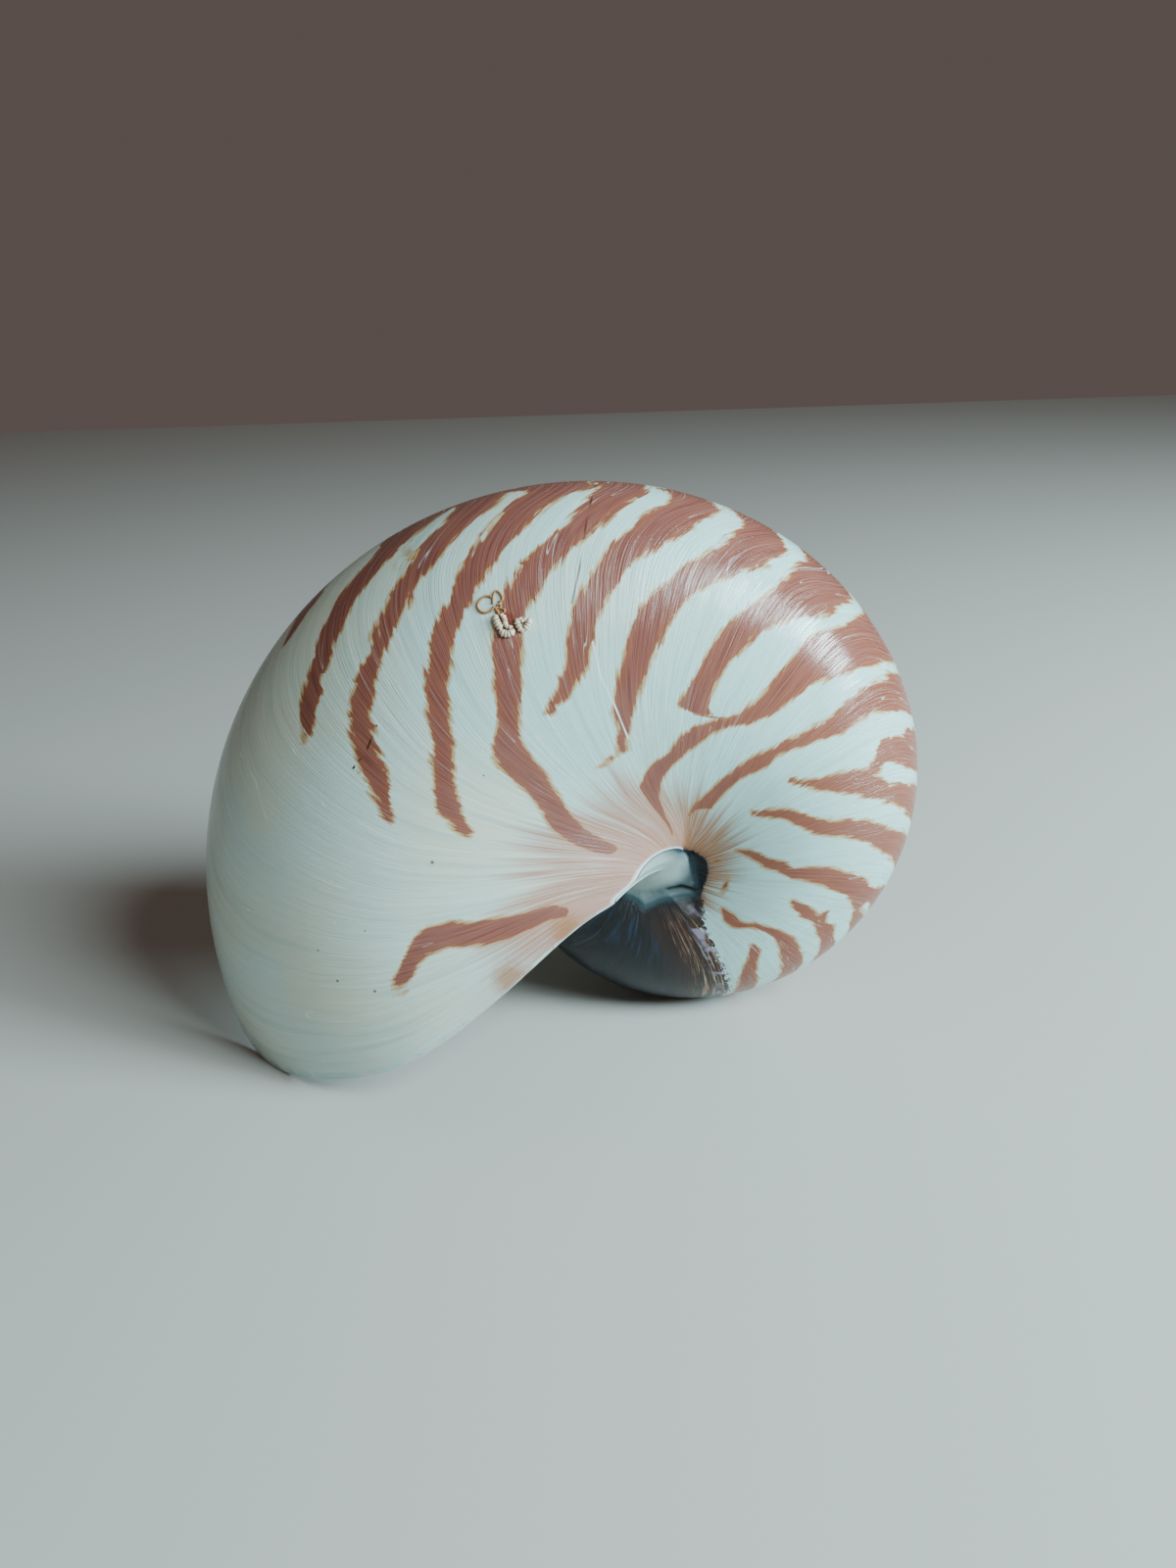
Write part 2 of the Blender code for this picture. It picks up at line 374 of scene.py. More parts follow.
def fillUmbilicus(points, side, across, growth):
    fill = closedLine("callus", points)
    inward = [0.0] * len(points)
    share = 1.0
    rows = umbilicus["rows"]
    for k in range(1, rows + 1):
        target = 1.0 - k / (rows + umbilicus["lastRow"])
        ratio, share = target / share, target

        def place(co):
            top = umbilicus["height"]
            height = top + (abs(co.y) - top) * ratio ** umbilicus["rise"]
            return Vector((co.x * ratio, side * height, co.z * ratio))

        extrudeRow(fill, place)
        inward += [1.0 - share] * len(points)
    closeRow(fill)
    inward = inward[:len(fill.data.vertices) - 1] + [1.0]
    setFloats(fill, "inward", inward)
    setFloats(fill, "across", across * rows + [side])
    setFloats(fill, "growth", growth * rows + [0.0])
    setFloats(fill, "part", [0.0] * len(points) + [2.0] * (len(inward) - len(points)))
    return fill


# the last septum: dished back along the coil, with the siphuncle's hole in its middle
septum = {"rows": 14, "dish": 0.26, "middle": 0.68, "lipRadius": 0.0027,
          "tube": ((0.0004, 0.0022), (0.004, 0.0021), (0.006, 0.0020))}


def closeSeptum(points):
    wall = closedLine("septum", points)
    back = coil["chamberRings"] * step
    angle = coil["lipAngle"] - back
    reach = septum["middle"] * coil["lipRadius"] * math.exp(-coil["growth"] * back)
    middle = Vector((reach * math.cos(angle), 0.0, reach * math.sin(angle)))
    share = 1.0
    for k in range(1, septum["rows"] + 1):
        target = 1.0 - k / (septum["rows"] + 1.0)
        back = septum["dish"] * (share**2 - target**2)
        ratio, share = target / share, target
        turn = Matrix.Rotation(back, 3, "Y") * math.exp(-coil["growth"] * back)
        extrudeRow(wall, lambda co: turn @ (middle + (co - middle) * ratio))
        middle = turn @ middle
    for depth, radius in ((0.0, septum["lipRadius"]),) + septum["tube"]:
        out = middle.normalized()

        def place(co):
            angle = math.atan2(co.y - middle.y, (co - middle).dot(out))
            spot = middle + (out * math.cos(angle) + Vector((0, 1, 0)) * math.sin(angle)) * radius
            return Matrix.Rotation(depth / reach, 3, "Y") @ spot

        extrudeRow(wall, place)
        middle = Matrix.Rotation(depth / reach, 3, "Y") @ middle
    closeRow(wall)
    return wall


def buildShell():
    shell, chamber, lip = growOutside(), growInside(), lipEdge()
    for piece, part in ((shell, 0.0), (chamber, 1.0), (lip, 1.0)):
        setFloats(piece, "part", [part] * len(piece.data.vertices))
    joinAndWeld(shell, chamber, lip)
    fills = []
    for loop in openLoops(shell):
        points = [shell.data.vertices[i].co.copy() for i in loop]
        middle = sum(p.y for p in points) / len(points)
        if abs(middle) > 0.005:
            across, growth = ([values[i] for i in loop] for values in (
                getFloats(shell, "across"), getFloats(shell, "growth")))
            fill = fillUmbilicus(points, math.copysign(1.0, middle), across, growth)
        else:
            fill = closeSeptum(points)
            setFloats(fill, "part", [1.0] * len(fill.data.vertices))
        fills.append(fill)
    joinAndWeld(shell, *fills)
    return shell


def joinAndWeld(*pieces):
    editAll(*pieces)
    bpy.ops.mesh.remove_doubles(threshold=0.00002)
    setMode("OBJECT")


# the stripes: each one is a few readings along it, (share from the venter, from, to) in radians
stripes = {
    "a": ((0, -1.20, -1.08), (.2, -1.24, -1.14), (.3, -1.24, -1.13), (.4, -1.19, -1.10),
          (.45, -1.13, -1.06), (.5, -1.06, -.98), (.54, -.99, -.97)),
    "b": ((0, -.99, -.84), (.2, -1.02, -.90), (.3, -.97, -.85), (.4, -.91, -.79),
          (.45, -.87, -.76), (.52, -.82, -.76), (.57, -.83, -.78), (.61, -.86, -.81),
          (.65, -.96, -.87), (.7, -.95, -.84), (.745, -.84, -.82)),
    "c": ((0, -.76, -.62), (.2, -.78, -.66), (.25, -.75, -.66), (.3, -.71, -.63),
          (.35, -.67, -.58), (.4, -.64, -.60), (.45, -.58, -.55), (.5, -.59, -.51),
          (.565, -.51, -.49)),
    "cBarb": ((.40, -.62, -.58), (.42, -.58, -.50), (.44, -.57, -.54)),
    "d": ((0, -.53, -.40), (.2, -.56, -.46), (.25, -.53, -.46), (.29, -.47, -.44)),
    "e": ((0, -.36, -.22), (.15, -.39, -.28), (.25, -.39, -.32), (.3, -.45, -.32),
          (.35, -.40, -.28), (.4, -.37, -.25), (.5, -.32, -.21), (.6, -.29, -.21),
          (.65, -.23, -.14), (.7, -.17, -.09), (.75, -.03, .05), (.8, .12, .14)),
    "f": ((0, -.15, 0), (.15, -.16, -.03), (.25, -.15, -.04), (.3, -.13, -.03),
          (.35, -.09, .01), (.45, -.01, .08), (.5, .01, .09), (.55, .05, .14),
          (.6, .16, .26), (.65, .27, .33), (.7, .36, .40), (.72, .44, .46)),
    "g": ((0, .08, .24), (.1, .06, .20), (.2, .06, .17), (.3, .11, .18), (.4, .19, .31),
          (.5, .29, .36), (.55, .37, .41), (.575, .44, .46)),
    "h": ((0, .30, .46), (.1, .27, .43), (.2, .25, .37), (.3, .29, .37), (.37, .25, .28)),
    "i": ((0, .52, .68), (.1, .50, .64), (.2, .48, .59), (.3, .50, .59), (.4, .51, .58),
          (.5, .57, .62), (.55, .62, .66), (.6, .63, .71), (.7, .73, .81), (.75, .78, .87),
          (.8, .80, .96), (.83, .97, 1.02), (.86, 1.06, 1.08)),
    "j": ((0, .73, .91), (.1, .70, .87), (.2, .67, .82), (.3, .69, .86), (.4, .76, .87),
          (.5, .79, .88), (.55, .86, .92), (.6, 1.00, 1.07), (.65, 1.08, 1.19),
          (.7, 1.17, 1.25), (.75, 1.29, 1.43), (.8, 1.39, 1.55), (.88, 1.51, 1.58),
          (.95, 1.60, 1.64)),
    "k": ((0, 1.00, 1.17), (.1, .94, 1.11), (.2, .89, 1.06), (.25, .92, 1.05),
          (.3, .97, 1.07), (.4, 1.05, 1.14), (.5, 1.09, 1.17), (.56, 1.09, 1.21),
          (.575, 1.05, 1.22)),
    "l": ((0, 1.28, 1.40), (.1, 1.18, 1.31), (.2, 1.14, 1.27), (.25, 1.18, 1.29),
          (.3, 1.24, 1.33), (.4, 1.33, 1.43), (.5, 1.37, 1.47), (.6, 1.44, 1.53),
          (.65, 1.49, 1.53), (.7, 1.54, 1.58), (.73, 1.71, 1.73)),
    "m": ((0, 1.46, 1.59), (.1, 1.41, 1.52), (.2, 1.39, 1.51), (.3, 1.48, 1.56),
          (.4, 1.56, 1.63), (.5, 1.61, 1.68), (.55, 1.69, 1.76), (.575, 1.79, 1.81)),
    "n": ((0, 1.64, 1.76), (.1, 1.61, 1.71), (.2, 1.61, 1.68), (.3, 1.69, 1.79),
          (.4, 1.80, 1.88), (.5, 1.85, 1.94), (.55, 1.91, 1.98), (.6, 1.97, 2.10),
          (.7, 2.02, 2.15), (.75, 2.07, 2.20), (.8, 2.16, 2.32), (.85, 2.24, 2.42),
          (.88, 2.30, 2.49), (.92, 2.39, 2.53)),
    "o": ((0, 1.79, 2.00), (.05, 1.76, 1.90), (.1, 1.81, 1.91), (.2, 1.81, 1.91),
          (.3, 1.90, 1.97), (.4, 2.03, 2.10), (.5, 2.13, 2.20), (.55, 2.20, 2.29),
          (.6, 2.33, 2.43), (.65, 2.42, 2.48), (.68, 2.49, 2.51)),
    "p": ((0, 2.00, 2.12), (.1, 1.98, 2.08), (.2, 2.03, 2.12), (.3, 2.15, 2.20),
          (.35, 2.24, 2.33), (.4, 2.33, 2.40), (.5, 2.43, 2.49), (.54, 2.53, 2.55)),
    "q": ((0, 2.13, 2.30), (.1, 2.18, 2.29), (.2, 2.29, 2.37), (.3, 2.42, 2.48),
          (.33, 2.49, 2.51)),
    "r": ((0, 2.47, 2.58), (.06, 2.48, 2.57), (.11, 2.53, 2.56)),
    "lone": ((.59, 3.17, 3.19), (.62, 3.06, 3.17), (.65, 2.97, 3.09), (.7, 2.96, 3.08),
             (.75, 3.00, 3.13), (.8, 3.03, 3.17), (.87, 3.07, 3.20), (.9, 3.18, 3.27)),
    "squiggle": ((.79, -.56, -.54), (.80, -.52, -.38), (.81, -.34, -.30)),
    "fleck": ((.845, .03, .05), (.86, .035, .07), (.87, .06, .075)),
}
# the black film laid over the coil in front of the mouth ends along this line: (share, angle)
filmEdge = ((0, -1.30), (.2, -1.30), (.6, -1.25), (.7, -1.20), (.78, -1.0), (.83, -.8),
            (.855, -.6), (.87, -.3), (.885, 0), (.9, .2), (.92, .4), (.94, .6), (.97, .8),
            (1.0, 1.2))
# the callus in the umbilicus, in millimetres out from the coil axis (x, z): the whole patch that
# stands over the film, the pale mound on it, and the crease between the mound and the lower flap
callusPatch = ((-13, -8), (-13, 7), (-1.5, 9), (1.4, 5.0), (4.5, 4.2), (6.7, 2.5), (7.8, -0.2),
               (8.4, -3.0), (8.9, -6.0), (8.3, -8.2), (6.8, -8.6), (4.6, -9.1), (1.1, -10.3),
               (-2.4, -12.2), (-5.0, -10.2), (-7.2, -9.4))
callusMound = ((-13, -9), (-13, 7), (-1.5, 9), (1.4, 4.6), (4.5, 3.8), (6.5, 2.3), (7.4, -0.2),
               (7.6, -2.4), (6.8, -5.1), (4.9, -6.1), (2.9, -7.3), (0.6, -9.0), (-2.4, -11.5),
               (-4.2, -10.4))
callusCrease = ((11.6, -5.4), (10.3, -6.6), (8.3, -7.0), (5.6, -6.6), (2.8, -7.3))


def slopeTable():
    # length of section (in venter radii) and lead of the growth line gained for each share
    shares = np.linspace(0.0, 1.0, 401)
    points = np.array([sectionAt(s) for s in shares])
    leads = np.array([sweepAt(s) for s in shares])
    length = np.hypot(np.gradient(points[:, 0], shares), np.gradient(points[:, 1], shares))
    return shares, length, np.gradient(leads, shares)


def squareTo(share, reach, radius, slope, table):
    # millimetres to a radian, measured square to a curve of this slope, and the section's length
    length = np.interp(share, table[0], table[1]) * radius
    slant = reach * (slope + np.interp(share, table[0], table[2])) / length
    return reach * 1000.0 / np.sqrt(1.0 + slant**2), length


def stripeDepths(across, growth, reach, radius):
    # millimetres inside (+) or outside (-) the nearest stripe
    table = slopeTable()
    depth = np.full(len(across), -20.0)
    for k, rows in enumerate(stripes.values()):
        rows = np.array(rows, dtype=float)
        for far in (False, True):
            on = across > 0 if far else across <= 0
            share, angle = np.abs(across[on]), growth[on]
            if far:     # the far side repeats the near one, as grown: not quite the same
                grown = np.clip(share / 0.12, 0.0, 1.0)
                angle = angle - grown * (0.03 * math.sin(1.9 * k) + 0.02 * np.sin(9 * share + k))
                share = share * (1.0 + 0.06 * math.sin(2.7 * k + 1.0) * grown)
            shares, centre = rows[:, 0], (rows[:, 1] + rows[:, 2]) / 2
            half = (rows[:, 2] - rows[:, 1]) / 2
            slope = np.gradient(centre, shares)
            held = np.clip(share, shares[0], shares[-1])
            scale, length = squareTo(share, reach[on], radius[on],
                                     np.interp(held, shares, slope), table)
            off = np.abs(angle - np.interp(held, shares, centre))
            inside = (np.interp(held, shares, half) - off) * scale
            beyond = np.abs(share - held) * length * 1000.0
            inside = np.where(beyond > 0, -np.hypot(beyond, np.minimum(inside, 0.0)), inside)
            depth[on] = np.maximum(depth[on], inside)
    return depth


def filmDepths(across, growth, reach, radius):
    share = np.abs(across)
    shares, ends = np.array(filmEdge, dtype=float).T
    slope = np.interp(share, shares, np.gradient(ends, shares))
    scale, length = squareTo(share, reach, radius, slope, slopeTable())
    return (np.interp(share, shares, ends) - growth) * scale


def lineDistance(x, z, line):
    nearest = np.full(len(x), 1e9)
    for (x0, z0), (x1, z1) in zip(line[:-1], line[1:]):
        t = np.clip(((x - x0) * (x1 - x0) + (z - z0) * (z1 - z0))
                    / ((x1 - x0) ** 2 + (z1 - z0) ** 2), 0.0, 1.0)
        nearest = np.minimum(nearest, np.hypot(x - x0 - t * (x1 - x0), z - z0 - t * (z1 - z0)))
    return nearest


def outlineDepths(x, z, outline):
    # millimetres inside (+) or outside (-) a closed outline
    closed = outline + outline[:1]
    inside = np.zeros(len(x), dtype=bool)
    for (x0, z0), (x1, z1) in zip(closed[:-1], closed[1:]):
        inside ^= ((z0 > z) != (z1 > z)) & (x < x0 + (z - z0) * (x1 - x0) / (z1 - z0 + 1e-12))
    nearest = lineDistance(x, z, closed)
    return np.where(inside, nearest, -nearest)


def between(values, low, high):
    # from 0 at low to 1 at high
    return np.clip((values - low) / (high - low), 0.0, 1.0)


def eased(t):
    return t * t * (3.0 - 2.0 * t)


# how the film and the callus lie on the coil, in millimetres
callus = {
    "filmSunk": 1.4,                # the film lies this much lower than the umbilicus's rim,
    "sunkOver": 1.4,                # reached this far inside the film's edge
    "sunkShares": (0.72, 0.82),
    "sunkAngles": ((-1.3, -0.6), (2.4, 1.5)),
    "plane": (18.64, -0.08, 0.47),  # the mound: a height with slopes in x and z,
    "rise": 2.0,                    # and a low rise round a place on it
    "riseMiddle": (1.5, -1.5),
    "riseSpread": 56.0,
    "edge": (-0.3, 1.0),
    "flap": 0.35,                   # the lower flap stands this much over the film
    "flapEnd": 0.9,
    "crease": 0.5,
    "creaseWidth": 0.6,
}


def markShell(shell):
    count = len(shell.data.vertices)
    co = np.zeros(count * 3)
    shell.data.vertices.foreach_get("co", co)
    co = co.reshape(-1, 3)
    across, growth, part, inward = (np.array(getFloats(shell, name))
                                    for name in ("across", "growth", "part", "inward"))
    share = np.abs(across)
    radius = coil["lipRadius"] * np.exp(coil["growth"] * (
        growth + np.array([sweepAt(s) for s in share]) - coil["lipAngle"] - coil["sweep"][0]))
    reach = np.hypot(co[:, 0], co[:, 2])
    outer = (part < 0.5) & (inward == 0)
    onOuter = across[outer], growth[outer], reach[outer], radius[outer]
    stripe = np.full(count, -20.0)
    stripe[outer] = stripeDepths(*onOuter)
    film = np.where(part > 1.5, 30.0, -30.0)
    film[outer] = filmDepths(*onOuter)
    x, z = co[:, 0] * 1000, co[:, 2] * 1000
    pit = (part < 0.5) & (growth < 1.2) | (part > 1.5)
    patch = np.where(pit, outlineDepths(x, z, callusPatch), -20.0)
    mound = np.where(pit, outlineDepths(x, z, callusMound), -20.0)
    crease = np.where(pit, lineDistance(x, z, callusCrease), 20.0)
    size = np.clip(reach / 0.08, 0.1, 1.2)      # how coarse the stripes' edges are
    for name, values in (("stripe", stripe), ("film", np.clip(film, -30, 30)), ("patch", patch),
                         ("mound", mound), ("crease", crease), ("size", size)):
        setFloats(shell, name, values)
    first, last = callus["sunkAngles"]
    zone = between(share, *callus["sunkShares"]) * between(growth, *first) * between(growth, *last)
    sunk = eased(between(film, 0.0, callus["sunkOver"])) * zone
    height = np.abs(co[:, 1]) - np.where(outer, sunk, 0) * callus["filmSunk"] * 0.001
    base, slopeX, slopeZ = callus["plane"]
    midX, midZ = callus["riseMiddle"]
    rise = 1 - ((x - midX) ** 2 + (z - midZ) ** 2) / callus["riseSpread"]
    dome = 0.001 * (base + slopeX * x + slopeZ * z + callus["rise"] * rise)
    lift = eased(between(patch, *callus["edge"]))
    flap = np.where(growth < callus["flapEnd"], callus["flap"] * 0.001, 0.0)
    height += (np.maximum(dome, height + flap) - height) * lift
    height -= callus["crease"] * 0.001 * np.exp(-(crease / callus["creaseWidth"]) ** 2) * lift
    co[:, 1] = np.sign(co[:, 1]) * height
    shell.data.vertices.foreach_set("co", co.ravel())
    shell.data.update()


# the umbilicus's rim, drawn in over the callus on the lip's side (metres, from the coil axis)
rimShift = {"by": 0.0035, "ring": (0.008, 0.024), "above": (-0.0015, 0.003),
            "left": (0.0, 0.009), "side": (0.008, 0.018)}


def drawInRim(shell):
    def easeOver(value, name):
        low, high = rimShift[name]
        return ease((value - low) / (high - low))

    for vert in shell.data.vertices:
        x, z, side = vert.co.x, vert.co.z, abs(vert.co.y)
        reach = math.hypot(x, z)
        if reach < rimShift["ring"][1] and side > rimShift["side"][0]:
            fade = (1.0 - easeOver(reach, "ring")) * (1.0 - easeOver(x, "left"))
            vert.co.x += rimShift["by"] * fade * easeOver(z, "above") * easeOver(side, "side")


def standMatrix():
    return Matrix.Translation(coil["centre"]) @ Matrix.Rotation(coil["lean"], 4, "Y")


def standUp(obj):
    obj.data.transform(standMatrix())


def hexColour(code):
    parts = [int(code[i:i + 2], 16) / 255.0 for i in (1, 3, 5)]
    return tuple(p / 12.92 if p <= 0.04045 else ((p + 0.055) / 1.055) ** 2.4
                 for p in parts) + (1.0,)


# what a node's setting is called, by its kind
settingNames = {
    "Math": "operation", "VectorMath": "operation", "MapRange": "interpolation_type",
    "Mix": "data_type", "Attribute": "attribute_name", "TexNoise": "noise_dimensions",
    "TexVoronoi": "voronoi_dimensions", "AmbientOcclusion": "samples",
}


def addNode(tree, kind, setting=None, *inputs, out=None, **named):
    # its sockets are filled in order or by name, each with a link or a value
    node = tree.nodes.new("ShaderNode" + kind)
    if setting is not None:
        setattr(node, settingNames[kind], setting)
    pairs = list(zip((s for s in node.inputs if s.enabled), inputs))
    for socket, value in pairs + [(node.inputs[name], value) for name, value in named.items()]:
        if isinstance(value, bpy.types.NodeSocket):
            tree.links.new(value, socket)
        else:
            socket.default_value = value
    return node.outputs[out] if out else next(s for s in node.outputs if s.enabled)


def newMaterial(name):
    material = bpy.data.materials.new(name)
    material.use_nodes = True
    return material, material.node_tree, material.node_tree.nodes["Principled BSDF"]


porcelain = {
    "groundCool": "#BCE2E1", "ground": "#CCE0DA", "groundWarm": "#D6DCC9",
    "groundShade": "#AEC6BF", "groundBright": "#ECF8F6", "rim": "#E9F1F8",
    "stripe": "#905A50", "stripeDark": "#784540", "stripeEdge": "#A06040",
    "stripeWarm": "#9C5230", "halo": "#BE9150",
    "stain": "#A8693A", "stainPink": "#BE8C7B", "stainDark": "#7C4426",
    "film": "#0A0C12", "filmBlue": "#1F3C5C", "filmBrown": "#2A1512", "filmCream": "#C3AC8C",
    "filmRust": "#7E4B35", "filmLilac": "#9C93A6",
    "callus": "#B6CAC8", "callusTeal": "#3A5763",
    "ochre": "#B58A3A", "crack": "#4A2A1C", "wormScar": "#7A3424",
}
# marks of wear, and round the worm tubes a spot of their tan stain and painted shadow: width
# or radius in millimetres, places on the shell as (angle, across), and for some spots how soft
# they are
wearAndShadowMarks = {
    "ochreSpot": (2.6, 2.13, -0.16, 0.9),
    "lipSpots": ((3.2, 3.42, -0.79, 0.6), (3.0, 3.40, -0.90, 0.7)),
    "scratches": (
        (0.22, (2.74, -0.19), (2.71, -0.27), (2.76, -0.33)),
        (0.2, (2.56, -0.32), (2.62, -0.43)),
        (0.24, (1.58, -0.46), (1.56, -0.53), (1.52, -0.59), (1.50, -0.67))),
    "brokenCrack": (0.3, (2.33, -0.425), (2.4, -0.44), (2.48, -0.44)),
    "crack": (0.3, (1.76, -0.03), (1.70, -0.12), (1.64, -0.21), (1.62, -0.31), (1.64, -0.38)),
    "brownLine": (0.35, (1.14, -0.585), (1.06, -0.58), (0.95, -0.565)),
    "pits": ((0.35, 2.66, -0.64), (0.28, 3.14, -0.50), (0.28, 3.18, -0.56),
             (0.22, 3.05, -0.47), (0.22, 2.96, -0.55), (0.2, 2.2, -0.62)),
    "wormScar": (1.5, 1.84, -0.385),
}


def porcelainShell():
    # outer prismatic layer of a cleaned, polished shell: white and glossy, with silky growth lines
    material, tree, shader = newMaterial("porcelain_layer_polished")
    add = partial(addNode, tree)
    tint = {name: hexColour(code) for name, code in porcelain.items()}
    growth, across, stripe, film, patch, mound, crease, size = (
        add("Attribute", name, out="Fac") for name in (
            "growth", "across", "stripe", "film", "patch", "mound", "crease", "size"))
    share = add("Math", "ABSOLUTE", across)
    place = add("TexCoord", out="Object")

    # a radian of growth is about 80 mm at the venter, and the section about 90 mm from there in,
    # so 40 to a radian and 1.4 across is a line each 2 mm that runs on for 60 mm
    def alongLines(perRadian, perAcross):
        return add("CombineXYZ", None, add("Math", "MULTIPLY", growth, perRadian),
                   add("Math", "MULTIPLY", across, perAcross))

    def silk(perRadian, perAcross, detail=3.0, roughness=0.55):
        # soft streaks
        return add("TexNoise", "3D", alongLines(perRadian, perAcross), 1.0, detail, roughness)

    def steps(perRadian, perAcross):
        # long narrow cells, each with its own value
        cells = add("TexVoronoi", "2D", alongLines(perRadian, perAcross), 1.0, out="Color")
        return add("SeparateColor", None, cells)

    def hairGap(perRadian, perAcross):
        # 0 on hairlines, where the streaks cross their middle value
        middle = add("Math", "SUBTRACT", silk(perRadian, perAcross, 2.0), 0.5)
        return add("Math", "ABSOLUTE", middle)

    def joined(operation, *parts):
        # parts multiplied or added, or the highest of them; (source, from, to) is a soft step
        total = None
        for part in parts:
            if isinstance(part, tuple):
                part = add("MapRange", "SMOOTHSTEP", *part)
            total = part if total is None else add("Math", operation, total, part)
        return total

    def layered(under, *layers):
        # each layer is a colour and the parts whose product says where it covers
        for top, *parts in layers:
            cover = joined("MULTIPLY", *parts)
            under = add("Mix", "RGBA", cover, under, tint[top] if isinstance(top, str) else top)
        return under

    def swayed(value, pattern, amount):
        # a value that the pattern moves up and down, by this much in all
        return joined("ADD", value, add("Math", "MULTIPLY_ADD", pattern, amount, -amount / 2))

    def onShell(angle, a):
        return standMatrix() @ outsidePoint(angle, a)

    def nearSpot(radius, angle, a, soft=0.4):
        gap = add("VectorMath", "DISTANCE", place, onShell(angle, a))
        ragged = swayed(joined("MULTIPLY", gap, 1000.0), speck, radius)
        return joined("MULTIPLY", (ragged, radius * (1 + soft), radius * (1 - soft)))

    def nearLine(width, *points):
        # 1 on a line drawn through a few places of the shell
        spans = []
        ends = [onShell(*point) for point in points]
        for start, end in zip(ends[:-1], ends[1:]):
            span = end - start
            away = add("VectorMath", "SUBTRACT", place, start)
            along = add("VectorMath", "DOT_PRODUCT", away, span / span.length_squared)
            along = add("MapRange", "LINEAR", along, 0.0, 1.0)
            foot = add("VectorMath", "SCALE", span, Scale=along)
            gap = joined("MULTIPLY", add("VectorMath", "DISTANCE", away, foot), 1000.0)
            spans.append((gap, width, width * 0.4))
        return joined("MAXIMUM", *spans)

    # even patterns: 900 to a metre is about 1 mm, 260 is 4 mm and 32 is 30 mm
    speck = add("TexNoise", "3D", place, 900.0, 3.0)
    grain = add("TexNoise", "3D", place, 260.0, 3.0)
    clouds = add("TexNoise", "3D", place, 32.0, 3.0)
    patchy = joined("MULTIPLY", (add("TexNoise", "3D", place, 45.0, 3.0), 0.42, 0.62))
    grooves, fineGrooves = hairGap(40.0, 1.4), hairGap(125.0, 2.6)
    fine, lines, broad = silk(230.0, 5.0, 2.0), silk(95.0, 2.5, 3.0, 0.65), silk(26.0, 2.0, 2.0)

    # white ground with silky lines
    ochrePatches = add("TexNoise", "3D", place, 260.0, 4.0)
    colour = layered(
        tint["groundCool"], ("ground", (growth, 1.4, 2.9)),
        ("groundWarm", (clouds, 0.4, 0.7), (growth, 0.5, 2.5)),
        ("groundShade", (broad, 0.48, 0.72), 0.5),
        ("groundBright", (lines, 0.58, 0.72), 0.45),
        ("groundShade", (grooves, 0.02, 0.0), patchy, 0.4),
        ("ochre", nearSpot(*wearAndShadowMarks["ochreSpot"]), (ochrePatches, 0.45, 0.6), 0.8))

    # stain round the umbilicus and by the lip, streaked along the growth lines, and a thin
    # painted highlight along the umbilicus's rim
    streaks = silk(44.0, 1.2, 3.0, 0.7)
    reach = swayed(swayed(share, silk(13.0, 0.8), 0.20), steps(40.0, 1.5), 0.05)
    stained = joined(
        "MAXIMUM", joined("MULTIPLY", (reach, 0.74, 0.86), (streaks, 0.38, 0.56, 0.55, 1.0)),
        (reach, 0.84, 0.93, 0.0, 0.95),
        joined("MULTIPLY", (growth, 3.25, 3.42), (share, 0.66, 0.9), 0.7))
    stain = layered(tint["stain"], ("stainPink", (growth, 0.9, 1.6)),
                    ("stainDark", (streaks, 0.5, 0.7), 0.6))
    lipSpots = joined("MAXIMUM", *(nearSpot(*spot) for spot in wearAndShadowMarks["lipSpots"]))
    colour = layered(
        colour, (stain, stained), ("stain", lipSpots, 0.7),
        ("groundBright", (lines, 0.55, 0.7), (share, 0.6, 0.8), 0.22),
        # a thin whitish line along the umbilicus's rim: painted highlight
        ("rim", (swayed(share, silk(60.0, 2.0), 0.012), 0.986, 0.997), 0.8))

    # stripes: stepped edges along the growth lines, with a golden border
    jag = swayed(swayed(0.45, steps(52.0, 17.0), 1.1), steps(150.0, 50.0), 0.7)
    edge = add("Math", "MULTIPLY_ADD", swayed(jag, silk(22.0, 9.0), 1.4), size, stripe)
    border = swayed(edge, add("TexNoise", "3D", place, 160.0, 3.0), 0.9)
    brown = layered(
        tint["stripe"], ("stripeDark", (silk(150.0, 6.0), 0.4, 0.66)),
        ("stripeEdge", (edge, 1.6, 0.2), 0.35), ("stripeWarm", (growth, 1.5, 0.3), 0.35),
        ("stripeEdge", (fineGrooves, 0.06, 0.0), 0.2))
    unstained = add("Math", "MULTIPLY_ADD", stained, -0.6, 0.85)
    colour = layered(colour, ("halo", (border, -0.65, -0.1), unstained),
                     (brown, (edge, -0.08, 0.22)))

    # white scored lines, thin cracks, a few dark pits, and round the worm tubes a brown spot
    # that is partly their tan stain and partly painted shadow
    broken = (add("TexNoise", "3D", place, 700.0, 3.0), 0.47, 0.55)
    cracks = joined(
        "MAXIMUM", joined("MULTIPLY", nearLine(*wearAndShadowMarks["brokenCrack"]), broken),
        joined("MULTIPLY", nearLine(*wearAndShadowMarks["crack"]), 0.75),
        *(joined("MULTIPLY", nearSpot(*spot), 0.8) for spot in wearAndShadowMarks["pits"]))
    colour = layered(
        colour, ("groundBright", (hairGap(15.0, 0.9), 0.0028, 0.0), (share, 0.75, 0.55), 0.55),
        ("groundBright", joined("MAXIMUM", *(nearLine(*line) for line in wearAndShadowMarks["scratches"]))),
        ("stripeEdge", nearLine(*wearAndShadowMarks["brownLine"]), 0.8), ("crack", cracks),
        # round the worm tubes: tan stain and painted shadow
        ("wormScar", nearSpot(*wearAndShadowMarks["wormScar"]), 0.85))
